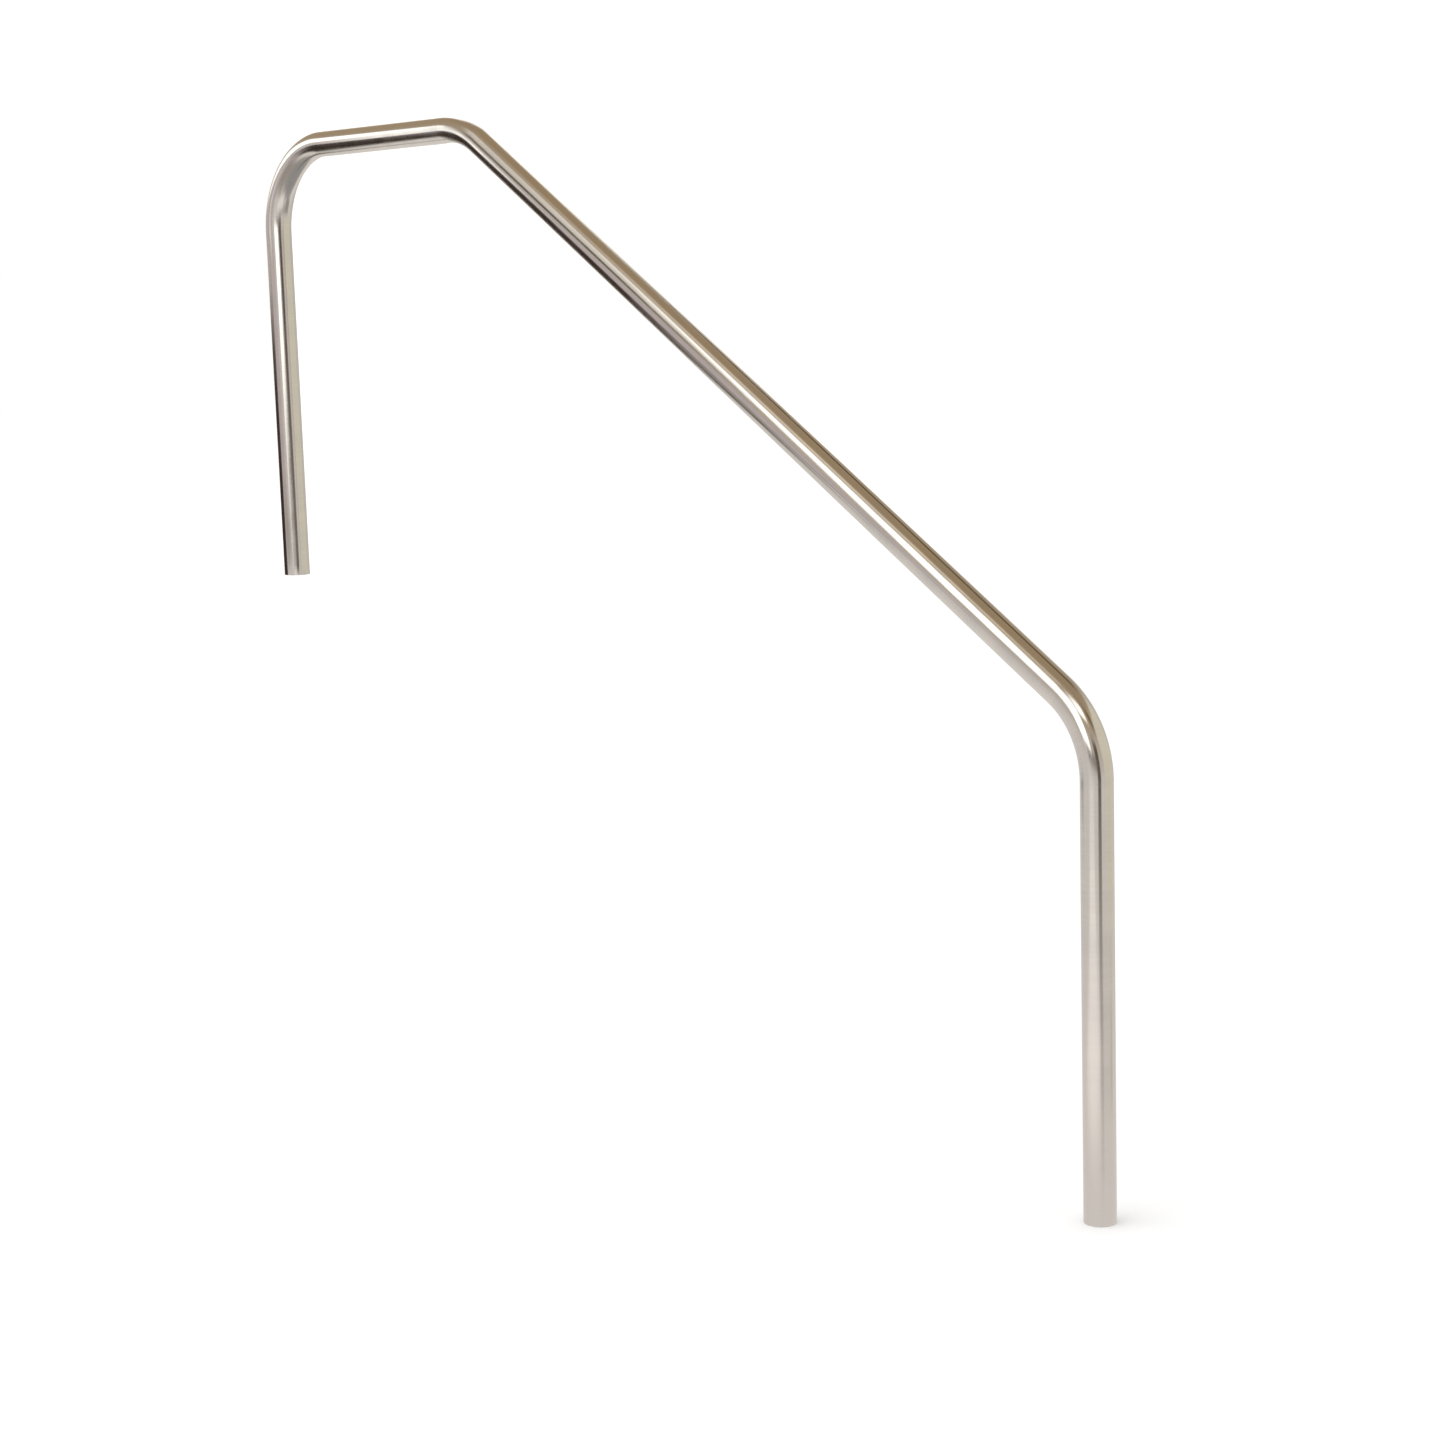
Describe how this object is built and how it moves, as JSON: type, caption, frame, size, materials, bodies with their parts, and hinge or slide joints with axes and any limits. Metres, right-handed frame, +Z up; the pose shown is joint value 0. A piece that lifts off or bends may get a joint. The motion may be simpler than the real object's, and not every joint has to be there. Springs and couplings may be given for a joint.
{
  "type": "pool handrail",
  "caption": "Deck-to-pool handrail: one stainless tube with three bends, open at both ends, that stands in an anchor on the deck and one below the pool steps.",
  "frame": {"origin": "centre of the deck leg's lower end, on the tube's axis", "axes": "+Z up along both legs, +X from the deck towards the pool, and the whole rail lies in the plane y = 0"},
  "size_m": [1.9012, 0.0482, 1.6687],
  "materials": {
    "stainless": "satin, polished around the tube, slightly duller at the pool leg's foot"
  },
  "bodies": {
    "root": {"deck_leg": "stainless", "upper_bend": "stainless", "top_run": "stainless", "middle_bend": "stainless", "sloping_run": "stainless", "lower_bend": "stainless", "pool_leg": "stainless"}
  },
  "joints": []
}
